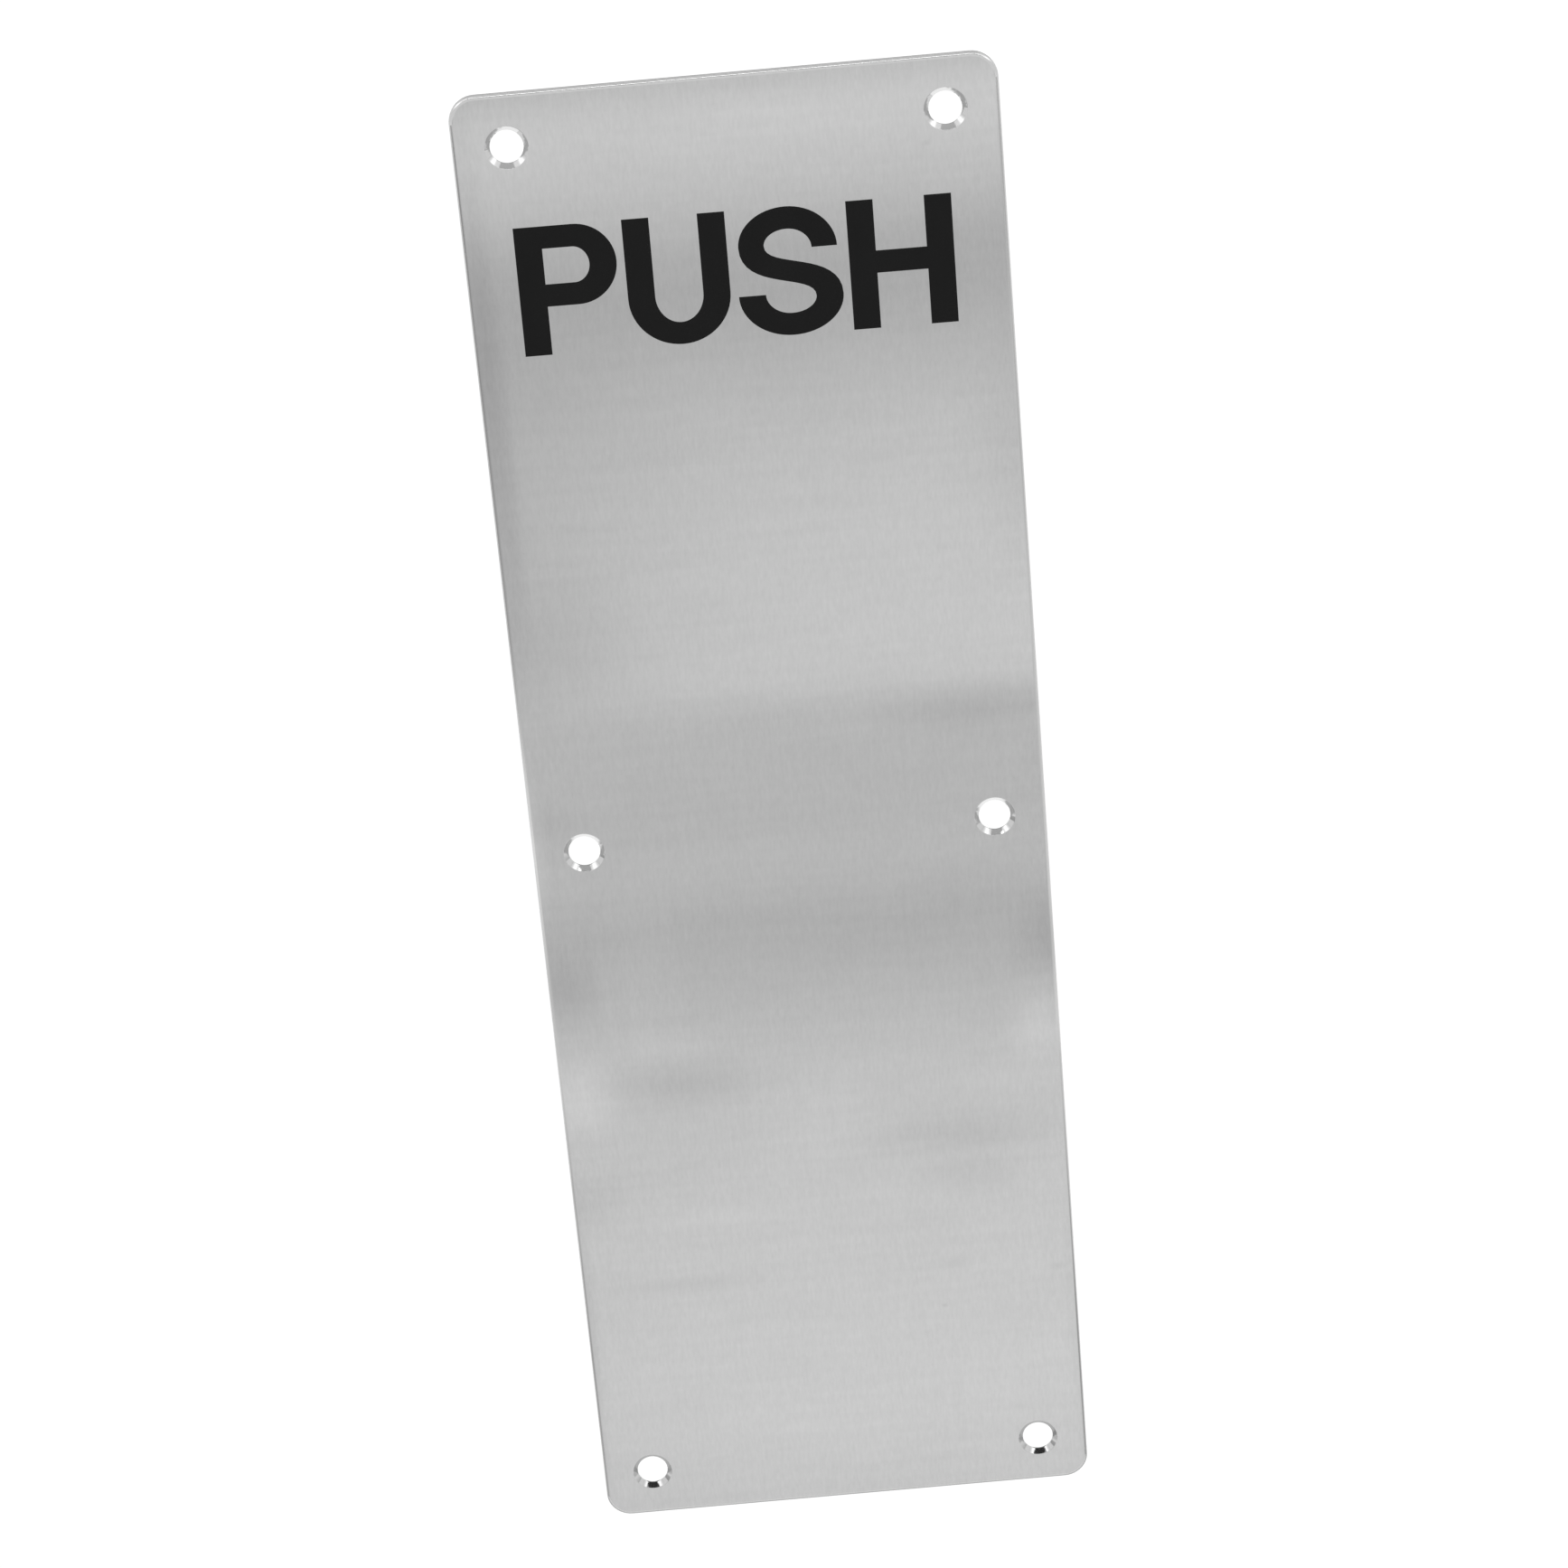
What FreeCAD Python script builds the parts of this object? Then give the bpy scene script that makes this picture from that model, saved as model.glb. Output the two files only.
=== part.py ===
import FreeCAD, Part
import math
import os

# Door finger plate: one flat piece of stainless sheet with rounded corners, a rounded front edge and
# countersunk screw holes down both long sides.
# Millimetres. X runs across the plate, Z up it and Y into the door: the back face lies on Y = 0 with its
# centre at the origin, and the front face looks along -Y.

# Sheet
PLATE_WIDTH = 100.0
PLATE_HEIGHT = 300.0
SHEET_THICKNESS = 1.2
CORNER_RADIUS = 5.0

# Edges: the front is rounded for the hand, and the back only has its burr taken off
FRONT_EDGE_RADIUS = 0.8
BACK_EDGE_BREAK = 0.15

# Screw holes, for countersunk wood screws put in from the front
HOLE_DIAMETER = 6.2
COUNTERSINK_DEPTH = 0.9
COUNTERSINK_ANGLE = 90.0
COUNTERSINK_RIM_RADIUS = 0.15
HOLE_SIDE_MARGIN = 10.0
HOLE_END_MARGIN = 10.0
HOLE_ROWS = 3

# Worked out from the sizes above; on a thin sheet the front's rounding stops short of the back's broken edge
front_y = -SHEET_THICKNESS
back_y = 0.0
front_edge_radius = min(FRONT_EDGE_RADIUS, SHEET_THICKNESS - 2 * BACK_EDGE_BREAK)
hole_radius = HOLE_DIAMETER / 2
rim_radius = hole_radius + COUNTERSINK_DEPTH * math.tan(math.radians(COUNTERSINK_ANGLE / 2))
into_door = FreeCAD.Vector(0, 1, 0)


def same(a, b):
    """Whether two lengths agree, to well under a micrometre."""
    return math.isclose(a, b, abs_tol=1e-5)


def edges_at(shape, y):
    """The edges of a shape that lie wholly in the plane at this Y."""
    return [edge for edge in shape.Edges if same(edge.BoundBox.YMin, y) and same(edge.BoundBox.YMax, y)]


def sheet_blank():
    """The sheet cut to its outline, with its front edge rounded and its back edge broken."""
    lower_left = FreeCAD.Vector(-PLATE_WIDTH / 2, front_y, -PLATE_HEIGHT / 2)
    blank = Part.makeBox(PLATE_WIDTH, SHEET_THICKNESS, PLATE_HEIGHT, lower_left)
    corners = [edge for edge in blank.Edges if same(edge.BoundBox.YLength, SHEET_THICKNESS)]
    blank = blank.makeFillet(CORNER_RADIUS, corners)
    blank = blank.makeFillet(front_edge_radius, edges_at(blank, front_y))
    return blank.makeChamfer(BACK_EDGE_BREAK, edges_at(blank, back_y))


def hole_places():
    """The X and Z of every screw hole: a row near each end, and the rest evenly between them."""
    across = PLATE_WIDTH / 2 - HOLE_SIDE_MARGIN
    lowest = HOLE_END_MARGIN - PLATE_HEIGHT / 2
    row_pitch = (PLATE_HEIGHT - 2 * HOLE_END_MARGIN) / (HOLE_ROWS - 1)
    return [(side * across, lowest + row * row_pitch) for row in range(HOLE_ROWS) for side in (-1, 1)]


def countersunk_hole(x, z):
    """What is taken out for one screw: the straight hole, and the cone that the screw's head sits in."""
    mouth = FreeCAD.Vector(x, front_y, z)
    straight = Part.makeCylinder(hole_radius, SHEET_THICKNESS, mouth, into_door)
    cone = Part.makeCone(rim_radius, hole_radius, COUNTERSINK_DEPTH, mouth, into_door)
    return straight.fuse(cone)


def is_countersink_rim(edge):
    """Whether an edge of the front face is the outer circle of a countersink."""
    return isinstance(edge.Curve, Part.Circle) and same(edge.Curve.Radius, rim_radius)


def finger_plate():
    """The whole plate: the sheet with its screw holes cut, and the rims of their countersinks softened."""
    holes = [countersunk_hole(x, z) for x, z in hole_places()]
    plate = sheet_blank().cut(holes)
    rims = [edge for edge in edges_at(plate, front_y) if is_countersink_rim(edge)]
    return plate.makeFillet(COUNTERSINK_RIM_RADIUS, rims)


os.makedirs("parts", exist_ok=True)
finger_plate().exportStep("parts/finger_plate.step")
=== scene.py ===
import math

import bmesh
import bpy
from mathutils import Matrix, Vector


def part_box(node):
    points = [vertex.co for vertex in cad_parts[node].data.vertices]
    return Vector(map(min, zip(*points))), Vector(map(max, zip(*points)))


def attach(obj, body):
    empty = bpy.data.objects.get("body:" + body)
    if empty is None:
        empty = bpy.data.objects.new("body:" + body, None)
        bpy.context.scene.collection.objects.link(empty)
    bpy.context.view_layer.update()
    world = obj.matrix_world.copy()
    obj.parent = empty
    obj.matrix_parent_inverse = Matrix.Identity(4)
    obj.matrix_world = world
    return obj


# The looks of a door finger plate: brushed stainless sheet with a flat black word printed near its top.
# Metres, in the plate's own frame: X across, Z up, and the front face looking along -Y.

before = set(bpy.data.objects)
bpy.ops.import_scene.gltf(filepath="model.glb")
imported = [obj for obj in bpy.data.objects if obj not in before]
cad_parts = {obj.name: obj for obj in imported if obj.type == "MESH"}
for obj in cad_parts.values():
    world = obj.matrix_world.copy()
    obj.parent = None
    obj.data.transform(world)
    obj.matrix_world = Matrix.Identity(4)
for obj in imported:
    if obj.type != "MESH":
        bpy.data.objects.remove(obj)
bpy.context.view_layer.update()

MM = 0.001
NODE = "finger_plate"
BODY = "root"
plate_low, plate_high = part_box(NODE)
front_y = plate_low.y
half_width = plate_high.x
half_height = plate_high.z

# The photograph's view, in its own frame of pixels
IMAGE_SIDE_PX = 1735
FOCAL_LENGTH_PX = 4682
SENSOR_WIDTH_MM = 36.0
CAMERA_PLACE = Vector((0.0024, -0.7561, 0.3236))
CAMERA_AIM = Vector((-0.0002, -0.0012, 0.0107))
CAMERA_ROLL = math.radians(-5.15)
CAMERA_NEAR = 0.01
CAMERA_FAR = 50.0

# The printed word, in millimetres: letters of one height, set out along a line
CAP_HEIGHT = 24.4
STEM = 5.0
BAR = 4.2
LETTER_GAP = 1.47
WORD_LEFT = -40.7
WORD_BASELINE = 100.5
WORD_TILT = math.radians(-0.4)
PRINT_THICKNESS = 0.05

# Outlines: the length of a quarter ellipse's handles, as a share of its width and height, the steps that
# a curve is cut into, and the distance in millimetres within which two points are one
ROUND = 0.5523
CURVE_STEPS = 16
SAME_POINT = 1e-4

# Steel: how much light it returns, and how far its faces, its drilled cones and its edges spread it
STEEL_GREY = 0.58
FACE_ROUGHNESS = 0.13
CONE_ROUGHNESS = 0.06
EDGE_ROUGHNESS = 0.14

# Where one look of the steel goes over to another: how squarely a surface faces front or back, and how far
# in from the outline, in millimetres, the look of the edges reaches
FLAT_START = 0.96
FLAT_END = 0.999
ROUNDED_EDGE = 1.2

# Patterns in the steel: the size of their lumps along X, Y and Z, in millimetres, and their detail; the last
# value is the pitch of the turning marks
HAIRS = ((0.5, 0.5, 1.8), 3.0)
STREAKS = ((0.9, 0.9, 22.0), 3.0)
SMEARS = ((28.0, 28.0, 2.4), 2.0)
CLOUDS = ((24.0, 24.0, 16.0), 2.0)
WAVES = ((70.0, 70.0, 110.0), 0.0)
CUTS = ((0.12, 3.0, 0.12), 1.0)
TURNING_PITCH = 0.11

# What the patterns change: the face's grey, as shares of it, and the edges' grey
HAIR_SHARE = 0.14
STREAK_SHARE = 0.05
SMEAR_SHARE = 0.075
CLOUD_SHARE = 0.04
CUT_GREY = 0.08

# How far they change the roughness of the faces and of the drilled cones
STREAK_ROUGHNESS = 0.05
TURNING_ROUGHNESS = 0.01

# How high they stand, in millimetres
HAIR_HEIGHT = 0.0015
WAVE_HEIGHT = 0.06
CUT_HEIGHT = 0.003
TURNING_HEIGHT = 0.0001

# The direction across the grain, turned a little so that it stands square to no surface
ACROSS_GRAIN = (1.0, 0.02, 0.01)

# Soft marks on the front, smudges and, down the long edges, painted shade and painted light, in millimetres:
# x, z, half width, half height, and how much darker they are, or lighter where that is negative; they fade
# out at this depth behind the face
SMUDGE_AND_SHADE_DEPTH = 1.1
SMUDGES_AND_PAINTED_SHADE = (
    # Wiped patches across the lower half
    (-24.0, -52.0, 24.0, 8.0, 0.10),
    (-28.0, -62.0, 26.0, 22.0, 0.03),
    (-22.0, -82.0, 26.0, 5.0, -0.025),
    (-30.0, -43.0, 16.0, 5.0, -0.05),
    (-31.0, -26.0, 12.0, 22.0, -0.05),
    (3.0, -62.0, 13.0, 15.0, -0.02),
    (28.0, -67.0, 30.0, 18.0, 0.04),
    (30.0, -68.0, 30.0, 6.0, 0.06),
    (31.0, -77.0, 14.0, 7.0, 0.045),
    (34.0, -57.0, 22.0, 5.0, -0.025),
    # Thin smears and small spots
    (-28.0, -97.0, 23.0, 2.8, 0.065),
    (25.5, -97.0, 6.0, 2.2, 0.04),
    (23.0, -107.0, 0.9, 0.8, 0.10),
    (46.5, -100.0, 3.0, 1.3, 0.06),
    (36.0, 134.0, 1.2, 0.9, 0.08),
    # Down the left side: painted shade and painted highlights on the face along the rounded edge
    (-48.0, 92.0, 5.0, 72.0, 0.15),
    (-44.0, 44.0, 24.0, 22.0, 0.07),
    (-47.0, 7.0, 11.0, 6.0, 0.06),
    (-50.5, 2.0, 4.5, 24.0, -0.13),
    (-47.0, -29.0, 10.0, 12.0, 0.11),
    (-46.0, -52.0, 10.0, 13.0, -0.12),
    (-46.0, -76.0, 10.0, 10.0, 0.05),
    (-50.5, -105.0, 3.8, 60.0, 0.11),
    # Down the right side: painted shade and a painted highlight on the face along the rounded edge
    (52.0, 72.0, 16.0, 30.0, 0.08),
    (36.0, 23.0, 24.0, 5.5, 0.075),
    (50.0, -27.0, 13.0, 11.0, 0.12),
    (46.0, -45.0, 10.0, 11.0, -0.13),
    (50.5, -115.0, 4.0, 50.0, 0.05),
)

# Ink: its grey and sheen, the sizes in millimetres and the detail of its specks and patches, how much of
# each goes into its unevenness, what that does to its roughness, and the specks' height in millimetres
INK_GREY = 0.008
INK_LEAST_GREY = 0.7 * INK_GREY
INK_SHEEN = 0.1
SPECKS = ((0.25, 0.25, 0.25), 3.0)
PATCHES = ((6.0, 6.0, 9.0), 2.0)
SPECK_SHARE = 0.25
PATCH_SHARE = 0.35
INK_LEAST_ROUGHNESS = 0.40
INK_ROUGHNESS_RISE = 0.25
SPECK_HEIGHT = 0.001

# Studio: a pale sweep under and behind the plate, and cards round the camera that the steel mirrors
FLOOR_Z = -0.45
SWEEP_FRONT = -3.0
SWEEP_BACK = 2.0
SWEEP_TOP = 2.5
SWEEP_HALF_WIDTH = 4.0
SWEEP_RADIUS = 0.9
SWEEP_TURN_STEPS = 24
PAPER_GREY = 0.75
PAPER_GLOW = 0.35
WORLD_STRENGTH = 1.0

# Shades of the cards, from foot to head: the share of the height and the grey there
FRONT_SHADES = (
    (0.085, 0.88), (0.15, 0.98), (0.245, 0.94), (0.35, 0.89), (0.41, 0.75), (0.448, 0.67), (0.485, 0.79),
    (0.51, 0.74), (0.578, 0.765), (0.589, 0.93), (0.69, 0.91), (0.75, 0.84), (0.80, 0.72), (0.83, 0.64),
    (0.855, 0.68), (0.885, 0.82), (0.91, 0.90), (0.94, 0.99), (0.965, 0.78),
)
FRONT_LEFT_SHADES = (
    (0.085, 0.84), (0.15, 0.90), (0.245, 0.87), (0.35, 0.87), (0.41, 0.75), (0.448, 0.66), (0.485, 0.79),
    (0.51, 0.74), (0.578, 0.745), (0.589, 0.69), (0.69, 0.63), (0.75, 0.63), (0.80, 0.62), (0.83, 0.62),
    (0.855, 0.67), (0.885, 0.81), (0.91, 0.89), (0.94, 0.88), (0.965, 0.70),
)
FLAG_SHADES = (
    (0.20, 0.20), (0.23, 0.01), (0.43, 0.01), (0.46, 1.0), (0.56, 1.0), (0.59, 0.13), (0.95, 0.15),
)
LEFT_SHADES = ((0.16, 0.52), (0.53, 1.0), (0.64, 0.52), (0.95, 0.42))
RIGHT_SHADES = ((0.16, 0.36), (0.40, 0.78), (0.60, 0.70), (0.95, 0.52))
LIGHT_SHADES = ((0.0, 0.45), (0.20, 0.60), (0.35, 0.95), (0.55, 1.0), (0.68, 0.62))
LOW_SHADES = ((0.0, 0.55), (0.62, 0.45), (0.68, 1.0))
EVEN = ((0.0, 1.0), (1.0, 1.0))

# Where the front card goes over from one list to the other, in millimetres to the left of its middle
LEFT_FADE_START = 10.0
LEFT_FADE_END = 120.0

# Its faint streaks: the size of their lumps in millimetres and their detail, the range of values that
# counts, and how far they change the light
CARD_STREAKS = ((250.0, 5.0, 5.0), 2.0)
CARD_STREAKS_LOW = 0.3
CARD_STREAKS_HIGH = 0.7
CARD_STREAKS_CHANGE = 0.015

# Cards: degrees round from the front and up, distance, width and height in metres, strength and shades
CARDS = (
    ("front_card", 0, -23.3, 0.45, 0.70, 0.50, 1.05, FRONT_SHADES, FRONT_LEFT_SHADES),
    ("dark_flag", 0, 60, 0.85, 1.0, 0.62, 4.5, FLAG_SHADES),
    ("overhead_light", 180, 69, 0.9, 0.9, 0.35, 0.7, EVEN),
    ("back_card", 180, 26, 0.9, 1.4, 0.40, 0.4, EVEN),
    ("left_light", -67, 44, 0.9, 0.6, 0.7, 1.9, LIGHT_SHADES),
    ("left_flag", -76, -9, 0.9, 0.2, 0.2, 0.2, EVEN),
    ("right_light", 67, 44, 0.9, 0.6, 0.7, 1.9, LIGHT_SHADES),
    ("right_flag", 76, -9, 0.9, 0.2, 0.2, 0.2, EVEN),
    ("left_card", -62, -22, 0.6, 0.56, 0.5, 1.1, LEFT_SHADES),
    ("right_card", 62, -22, 0.6, 0.56, 0.5, 1.3, RIGHT_SHADES),
    ("low_card", 180, -80, 0.25, 0.6, 0.2, 1.4, LOW_SHADES),
)


def add_camera():
    """The camera at the photograph's viewing angle, with its slight roll."""
    data = bpy.data.cameras.new("camera")
    data.sensor_width = SENSOR_WIDTH_MM
    data.lens = FOCAL_LENGTH_PX / IMAGE_SIDE_PX * SENSOR_WIDTH_MM
    data.clip_start = CAMERA_NEAR
    data.clip_end = CAMERA_FAR
    camera = bpy.data.objects.new("camera", data)
    bpy.context.scene.collection.objects.link(camera)
    aim = (CAMERA_AIM - CAMERA_PLACE).to_track_quat("-Z", "Y").to_matrix().to_4x4()
    camera.matrix_world = Matrix.Translation(CAMERA_PLACE) @ aim @ Matrix.Rotation(CAMERA_ROLL, 4, "Z")
    bpy.context.scene.camera = camera


class Outline:
    """One closed outline, drawn as lines and curves from point to point, in millimetres."""

    def __init__(self, x, z):
        self.points = [[Vector((x, z)), Vector((x, z)), Vector((x, z))]]

    def curve(self, x, z, first_handle, last_handle):
        """A curve to a point; each handle is an offset from its own end of the curve."""
        end = Vector((x, z))
        start = self.points[-1]
        start[2] = start[1] + Vector(first_handle)
        self.points.append([end + Vector(last_handle), end, end])
        return self

    def line(self, x, z):
        """A straight line to a point."""
        return self.curve(x, z, (0, 0), (0, 0))

    def quarter(self, x, z, leaves):
        """A quarter of an ellipse that leaves its start upright or level."""
        start = self.points[-1][1]
        dx = (x - start.x) * ROUND
        dz = (z - start.y) * ROUND
        if leaves == "upright":
            return self.curve(x, z, (0, dz), (-dx, 0))
        return self.curve(x, z, (dx, 0), (0, -dz))

    def moved(self, dx):
        """The same outline, shifted to the right."""
        for handles in self.points:
            for point in handles:
                point.x += dx
        return self


def letter_p():
    """A stem with a round-ended bowl at its upper half."""
    width = 18.4
    bowl_height = 15.2
    bowl_low = CAP_HEIGHT - bowl_height
    middle = CAP_HEIGHT - bowl_height / 2
    counter_shift = 0.4
    outer_start = width - bowl_height / 2
    inner_start = outer_start - counter_shift
    inner_right = width - STEM
    body = Outline(0, 0).line(STEM, 0).line(STEM, bowl_low).line(outer_start, bowl_low)
    body.quarter(width, middle, "level").quarter(outer_start, CAP_HEIGHT, "upright")
    body.line(0, CAP_HEIGHT).line(0, 0)
    counter = Outline(STEM, bowl_low + BAR).line(inner_start, bowl_low + BAR)
    counter.quarter(inner_right, middle, "level").quarter(inner_start, CAP_HEIGHT - BAR, "upright")
    counter.line(STEM, CAP_HEIGHT - BAR).line(STEM, bowl_low + BAR)
    return width, [body, counter]


def letter_u():
    """Two stems joined by a round foot."""
    width = 18.9
    middle = width / 2
    outer_start = 9.2
    inner_start = 9.4
    body = Outline(0, CAP_HEIGHT).line(0, outer_start)
    body.quarter(middle, 0, "upright").quarter(width, outer_start, "level").line(width, CAP_HEIGHT)
    body.line(width - STEM, CAP_HEIGHT).line(width - STEM, inner_start)
    body.quarter(middle, BAR, "upright").quarter(STEM, inner_start, "level").line(STEM, CAP_HEIGHT)
    body.line(0, CAP_HEIGHT)
    return width, [body]


def letter_s():
    """Two bowls, open to opposite sides, joined by a slanting middle."""
    width = 19.3
    centre_x = width / 2
    centre_z = CAP_HEIGHT / 2
    outer = width / 2
    inner = outer - STEM
    waist = 5.0
    end_height = 4.2
    top_inside = centre_z - BAR
    outer_sweep = 8.3
    inner_sweep = 4.4
    upper_share = 0.94
    body = None
    for turn, share, other_share in ((1, upper_share, 1.0), (-1, 1.0, upper_share)):
        def place(x, z, scale=share):
            return centre_x + turn * scale * x, centre_z + turn * z
        if body is None:
            body = Outline(*place(outer, end_height))
        else:
            body.line(*place(outer, end_height))
        body.quarter(*place(0, centre_z), "upright").quarter(*place(-outer, waist), "level")
        body.curve(*place(inner, -waist, other_share), (0, -turn * outer_sweep), (0, turn * inner_sweep))
        body.quarter(*place(0, -top_inside, other_share), "upright")
        body.quarter(*place(-inner, -end_height, other_share), "level")
    body.line(*body.points[0][1])
    return width, [body]


def letter_h():
    """Two stems and the bar between them."""
    width = 19.4
    bar_low = 10.5
    bar_high = bar_low + BAR
    body = Outline(0, 0).line(STEM, 0).line(STEM, bar_low).line(width - STEM, bar_low).line(width - STEM, 0)
    body.line(width, 0).line(width, CAP_HEIGHT).line(width - STEM, CAP_HEIGHT).line(width - STEM, bar_high)
    body.line(STEM, bar_high).line(STEM, CAP_HEIGHT).line(0, CAP_HEIGHT).line(0, 0)
    return width, [body]


def letter_mesh(name, outlines):
    """A letter as a thin closed mesh that stands on the front face."""
    data = bpy.data.curves.new(name, "CURVE")
    data.dimensions = "2D"
    data.fill_mode = "BOTH"
    data.extrude = PRINT_THICKNESS / 2
    data.resolution_u = CURVE_STEPS
    for outline in outlines:
        spline = data.splines.new("BEZIER")
        spline.bezier_points.add(len(outline.points) - 2)
        first = outline.points[0]
        last = outline.points[-1]
        closed = [[last[0], first[1], first[2]]] + outline.points[1:-1]
        for point, (before, at, after) in zip(spline.bezier_points, closed):
            point.handle_left_type = "FREE"
            point.handle_right_type = "FREE"
            point.co = at.to_3d()
            point.handle_left = before.to_3d()
            point.handle_right = after.to_3d()
        spline.use_cyclic_u = True
    drawing = bpy.data.objects.new(name + "_drawing", data)
    bpy.context.scene.collection.objects.link(drawing)
    bpy.context.view_layer.update()
    mesh = bpy.data.meshes.new_from_object(drawing.evaluated_get(bpy.context.evaluated_depsgraph_get()))
    bpy.data.objects.remove(drawing)
    mesh.name = name
    shape = bmesh.new()
    shape.from_mesh(mesh)
    bmesh.ops.remove_doubles(shape, verts=shape.verts, dist=SAME_POINT)
    bmesh.ops.recalc_face_normals(shape, faces=shape.faces)
    shape.to_mesh(mesh)
    shape.free()
    return mesh


def add_word(material):
    """The four letters, side by side on the front face."""
    stand_up = Matrix.Rotation(math.radians(90), 4, "X")
    tilt = Matrix.Rotation(WORD_TILT, 4, "Z")
    lift = Matrix.Translation((0, 0, PRINT_THICKNESS / 2))
    start = Matrix.Translation((WORD_LEFT * MM, front_y, WORD_BASELINE * MM))
    x = 0.0
    for name, letter in (("p", letter_p), ("u", letter_u), ("s", letter_s), ("h", letter_h)):
        width, outlines = letter()
        mesh = letter_mesh("letter_" + name, [outline.moved(x) for outline in outlines])
        mesh.transform(start @ stand_up @ Matrix.Scale(MM, 4) @ lift @ tilt)
        mesh.materials.append(material)
        piece = bpy.data.objects.new("letter_" + name, mesh)
        bpy.context.scene.collection.objects.link(piece)
        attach(piece, BODY)
        x += width + LETTER_GAP


class Shading:
    """A material's nodes, with short calls that add them and join them up."""

    def __init__(self, name):
        self.material = bpy.data.materials.new(name)
        self.material.use_nodes = True
        self.tree = self.material.node_tree
        self.shader = self.tree.nodes["Principled BSDF"]
        self.output = self.tree.nodes["Material Output"]
        self.place = self.add("TexCoord").outputs["Object"]

    def add(self, kind, inputs=None, **settings):
        """A new node of this kind, with its inputs fed and its settings made."""
        node = self.tree.nodes.new("ShaderNode" + kind)
        for name, value in settings.items():
            setattr(node, name, value)
        for name, value in (inputs or {}).items():
            self.feed(node.inputs[name], value)
        return node

    def feed(self, socket, value):
        """Joins another node's output to an input, or sets the input to a plain value."""
        if isinstance(value, bpy.types.NodeSocket):
            self.tree.links.new(value, socket)
        else:
            socket.default_value = value

    def math(self, operation, *values):
        """The result of a sum on numbers and on other nodes' outputs."""
        node = self.add("Math", {index: value for index, value in enumerate(values)}, operation=operation)
        return node.outputs[0]

    def parts(self, vector):
        """The X, Y and Z of a vector."""
        return self.add("SeparateXYZ", {"Vector": vector}).outputs

    def scaled(self, size_mm):
        """The place on the object, counted in steps of this size along X, Y and Z."""
        steps = [1 / (size * MM) for size in size_mm]
        return self.add("VectorMath", {0: self.place, 1: steps}, operation="MULTIPLY").outputs[0]

    def noise(self, size_mm, detail):
        """Smooth random values about one half, whose lumps have this size along X, Y and Z."""
        node = self.add("TexNoise", {"Vector": self.scaled(size_mm), "Scale": 1.0, "Detail": detail})
        return node.outputs["Fac"]

    def ramp(self, value, from_low, from_high, to_low, to_high):
        """A value carried from one range to another, and held at its ends."""
        inputs = {"Value": value, "From Min": from_low, "From Max": from_high}
        inputs.update({"To Min": to_low, "To Max": to_high})
        return self.add("MapRange", inputs).outputs[0]

    def about(self, pattern, swing, middle):
        """A number that a pattern carries to both sides of a middle."""
        return self.math("MULTIPLY_ADD", self.math("SUBTRACT", pattern, 0.5), swing, middle)

    def mix(self, share, low, high):
        """A number that goes from low to high as the share goes from none to all."""
        return self.add("Mix", {"Factor": share, "A": low, "B": high}).outputs[0]

    def smooth_step(self, value, start, end):
        """None up to the start, one past the end, and a smooth rise between them."""
        inputs = {"Value": value, "From Min": start, "From Max": end, "To Min": 0.0, "To Max": 1.0}
        return self.add("MapRange", inputs, interpolation_type="SMOOTHSTEP").outputs[0]

    def soft_spot(self, centre_mm, half_size_mm):
        """One in the middle of a soft spot, falling to none at its rim."""
        steps = [1 / (size * MM) for size in half_size_mm]
        centre = [at * MM for at in centre_mm]
        shift = self.add("VectorMath", {0: self.place, 1: centre}, operation="SUBTRACT")
        shrunk = self.add("VectorMath", {0: shift.outputs[0], 1: steps}, operation="MULTIPLY")
        distance = self.add("VectorMath", {0: shrunk.outputs[0]}, operation="LENGTH").outputs["Value"]
        return self.smooth_step(distance, 1.0, 0.0)

    def raise_surface(self, height):
        """Gives the surface this height, in metres, as far as its shading goes."""
        bump = self.add("Bump", {"Strength": 1.0, "Distance": 1.0, "Height": height})
        self.feed(self.shader.inputs["Normal"], bump.outputs["Normal"])


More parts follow.
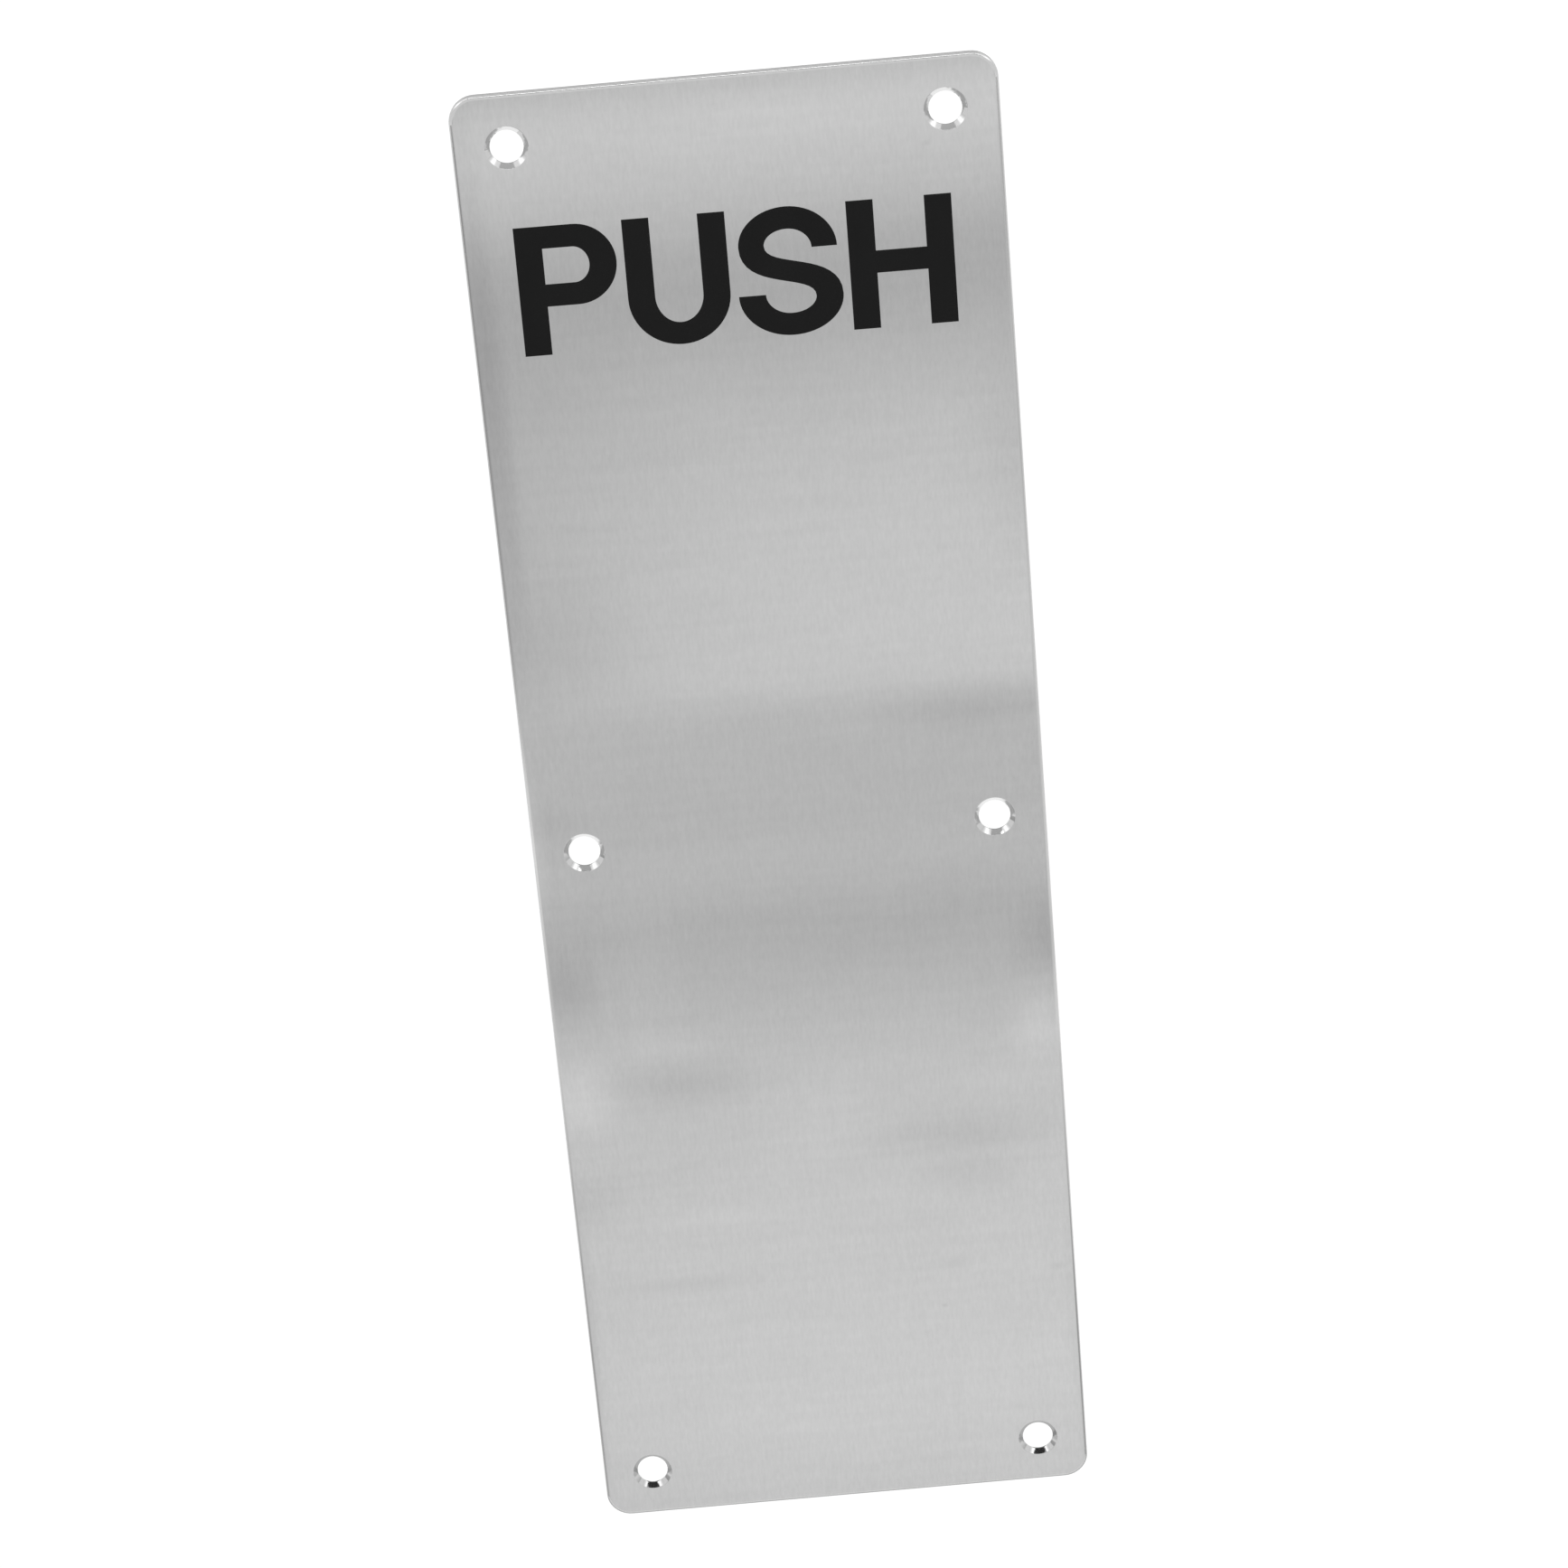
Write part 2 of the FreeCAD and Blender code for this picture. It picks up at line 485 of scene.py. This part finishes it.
def steel():
    """Stainless sheet: grain up its faces, turning marks in the countersinks and cut marks on its edges."""
    look = Shading("brushed_stainless_look")
    x, y, z = look.parts(look.place)
    facing = look.math("ABSOLUTE", look.parts(look.add("NewGeometry").outputs["Normal"])["Y"])
    flat = look.ramp(facing, FLAT_START, FLAT_END, 0.0, 1.0)
    inside_x = look.math("LESS_THAN", look.math("ABSOLUTE", x), half_width - ROUNDED_EDGE * MM)
    inside_z = look.math("LESS_THAN", look.math("ABSOLUTE", z), half_height - ROUNDED_EDGE * MM)
    inside = look.math("MULTIPLY", inside_x, inside_z)

    hairs = look.noise(*HAIRS)
    streaks = look.noise(*STREAKS)
    smears = look.noise(*SMEARS)
    clouds = look.noise(*CLOUDS)
    waves = look.noise(*WAVES)
    cuts = look.noise(*CUTS)
    turning = look.math("SINE", look.math("MULTIPLY", y, 2 * math.pi / (TURNING_PITCH * MM)))

    grain = look.about(hairs, HAIR_SHARE, 1.0)
    grain = look.about(streaks, STREAK_SHARE, grain)
    grain = look.about(smears, SMEAR_SHARE, grain)
    grain = look.about(clouds, CLOUD_SHARE, grain)
    face_grey = look.math("MULTIPLY", grain, STEEL_GREY)
    edge_grey = look.about(cuts, CUT_GREY, STEEL_GREY)
    grey = look.mix(flat, edge_grey, face_grey)
    # Smudges darken the grey; down the long edges the same marks are painted shade and painted light
    for at_x, at_z, half_x, half_z, darker in SMUDGES_AND_PAINTED_SHADE:
        spot = look.soft_spot((at_x, front_y / MM, at_z), (half_x, SMUDGE_AND_SHADE_DEPTH, half_z))
        grey = look.math("MULTIPLY", grey, look.math("MULTIPLY_ADD", spot, -darker, 1.0))
    look.feed(look.shader.inputs["Base Color"], grey)

    face_rough = look.about(streaks, STREAK_ROUGHNESS, FACE_ROUGHNESS)
    turned_rough = look.math("MULTIPLY_ADD", turning, TURNING_ROUGHNESS, CONE_ROUGHNESS)
    edge_rough = look.mix(inside, EDGE_ROUGHNESS, turned_rough)
    look.feed(look.shader.inputs["Roughness"], look.mix(flat, edge_rough, face_rough))

    wave_height = look.math("MULTIPLY", waves, WAVE_HEIGHT * MM)
    face_height = look.math("MULTIPLY_ADD", hairs, HAIR_HEIGHT * MM, wave_height)
    cut_height = look.math("MULTIPLY", cuts, CUT_HEIGHT * MM)
    turned_height = look.math("MULTIPLY", turning, TURNING_HEIGHT * MM)
    look.raise_surface(look.mix(flat, look.mix(inside, cut_height, turned_height), face_height))

    across = look.add("CombineXYZ", dict(zip("XYZ", ACROSS_GRAIN)))
    look.feed(look.shader.inputs["Tangent"], across.outputs["Vector"])
    look.shader.inputs["Metallic"].default_value = 1.0
    look.shader.inputs["Anisotropic"].default_value = 1.0
    return look.material


def ink():
    """Flat black print, a little uneven in its sheen."""
    look = Shading("black_print_look")
    specks = look.noise(*SPECKS)
    patches = look.noise(*PATCHES)
    uneven = look.math("MULTIPLY_ADD", specks, SPECK_SHARE, look.math("MULTIPLY", patches, PATCH_SHARE))
    grey = look.math("MULTIPLY_ADD", uneven, INK_GREY, INK_LEAST_GREY)
    rough = look.math("MULTIPLY_ADD", uneven, INK_ROUGHNESS_RISE, INK_LEAST_ROUGHNESS)
    look.feed(look.shader.inputs["Base Color"], grey)
    look.feed(look.shader.inputs["Roughness"], rough)
    look.raise_surface(look.math("MULTIPLY", specks, SPECK_HEIGHT * MM))
    look.shader.inputs["Specular IOR Level"].default_value = INK_SHEEN
    return look.material


def pale_paper():
    """The sweep's paper: white to the camera and to the steel, with the object's shadow kept."""
    look = Shading("pale_paper")
    paper = look.add("BsdfDiffuse", {"Color": (PAPER_GREY, PAPER_GREY, PAPER_GREY, 1.0)})
    path = look.add("LightPath").outputs
    mirrored = look.math("MAXIMUM", path["Is Glossy Ray"], path["Is Transmission Ray"])
    seen = look.math("MAXIMUM", path["Is Camera Ray"], mirrored)
    glow = look.add("Emission", {"Strength": look.math("MULTIPLY", seen, PAPER_GLOW)})
    both = look.add("AddShader", {0: paper.outputs[0], 1: glow.outputs[0]})
    look.feed(look.output.inputs["Surface"], both.outputs[0])
    return look.material


def add_sweep():
    """The pale floor, curving up into the backdrop behind the plate."""
    section = [(SWEEP_FRONT, FLOOR_Z)]
    for step in range(SWEEP_TURN_STEPS + 1):
        angle = math.pi / 2 * step / SWEEP_TURN_STEPS
        y = SWEEP_BACK - SWEEP_RADIUS * (1 - math.sin(angle))
        z = FLOOR_Z + SWEEP_RADIUS * (1 - math.cos(angle))
        section.append((y, z))
    section.append((SWEEP_BACK, SWEEP_TOP))
    points = [(side * SWEEP_HALF_WIDTH, y, z) for y, z in section for side in (-1, 1)]
    faces = [(row, row + 1, row + 3, row + 2) for row in range(0, len(points) - 2, 2)]
    mesh = bpy.data.meshes.new("sweep")
    mesh.from_pydata(points, [], faces)
    mesh.shade_smooth()
    mesh.materials.append(pale_paper())
    sweep = bpy.data.objects.new("sweep", mesh)
    bpy.context.scene.collection.objects.link(sweep)


def grey_steps(look, along, shades):
    """Greys along a line: each has its place from none to one, and they run smoothly into one another."""
    ramp = look.add("ValToRGB", {"Fac": along})
    elements = ramp.color_ramp.elements
    while len(elements) < len(shades):
        elements.new(1.0)
    for element, (position, grey) in zip(elements, shades):
        element.position = position
        element.color = (grey, grey, grey, 1)
    return ramp.outputs["Color"]


def card_light(name, strength, shades, left_shades):
    """A card's light: greys from its foot to its head, which may go over to others at its left."""
    look = Shading(name)
    along = look.parts(look.add("TexCoord").outputs["Generated"])["Y"]
    light = grey_steps(look, along, shades)
    if left_shades:
        left_light = grey_steps(look, along, left_shades)
        x = look.parts(look.place)["X"]
        share = look.smooth_step(x, -LEFT_FADE_START * MM, -LEFT_FADE_END * MM)
        dimmer = 1 - CARD_STREAKS_CHANGE
        brighter = 1 + CARD_STREAKS_CHANGE
        lumps = look.noise(*CARD_STREAKS)
        streaks = look.ramp(lumps, CARD_STREAKS_LOW, CARD_STREAKS_HIGH, dimmer, brighter)
        light = look.math("MULTIPLY", look.mix(share, light, left_light), streaks)
    glow = look.add("Emission", {"Color": light, "Strength": strength})
    look.feed(look.output.inputs["Surface"], glow.outputs[0])
    # Only reflections find the cards, so they aren't aimed at as lamps are
    look.material.cycles.emission_sampling = "NONE"
    return look.material


def add_card(name, azimuth, elevation, distance, width, height, strength, shades, left_shades=None):
    """A flat card that faces the plate's middle from this direction, in degrees from the front and up."""
    around = math.radians(azimuth)
    up = math.radians(elevation)
    towards = Vector((math.sin(around) * math.cos(up), -math.cos(around) * math.cos(up), math.sin(up)))
    half_x = width / 2
    half_y = height / 2
    mesh = bpy.data.meshes.new(name)
    corners = [(-half_x, -half_y, 0), (half_x, -half_y, 0), (half_x, half_y, 0), (-half_x, half_y, 0)]
    mesh.from_pydata(corners, [], [(0, 1, 2, 3)])
    mesh.materials.append(card_light(name, strength, shades, left_shades))
    card = bpy.data.objects.new(name, mesh)
    turn = towards.to_track_quat("Z", "Y").to_matrix().to_4x4()
    card.matrix_world = Matrix.Translation(towards * distance) @ turn
    # The steel alone shows a card: the camera doesn't, and it neither lights nor shades the floor
    card.visible_camera = False
    card.visible_diffuse = False
    card.visible_shadow = False
    bpy.context.scene.collection.objects.link(card)


def add_world():
    """Even white light from all round."""
    world = bpy.data.worlds.new("world")
    bpy.context.scene.world = world
    world.use_nodes = True
    background = world.node_tree.nodes["Background"]
    background.inputs["Color"].default_value = (1, 1, 1, 1)
    background.inputs["Strength"].default_value = WORLD_STRENGTH


bpy.context.scene.view_settings.view_transform = "Standard"
add_camera()
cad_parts[NODE].material_slots[0].material = steel()
add_word(ink())
add_world()
add_sweep()
for card in CARDS:
    add_card(*card)
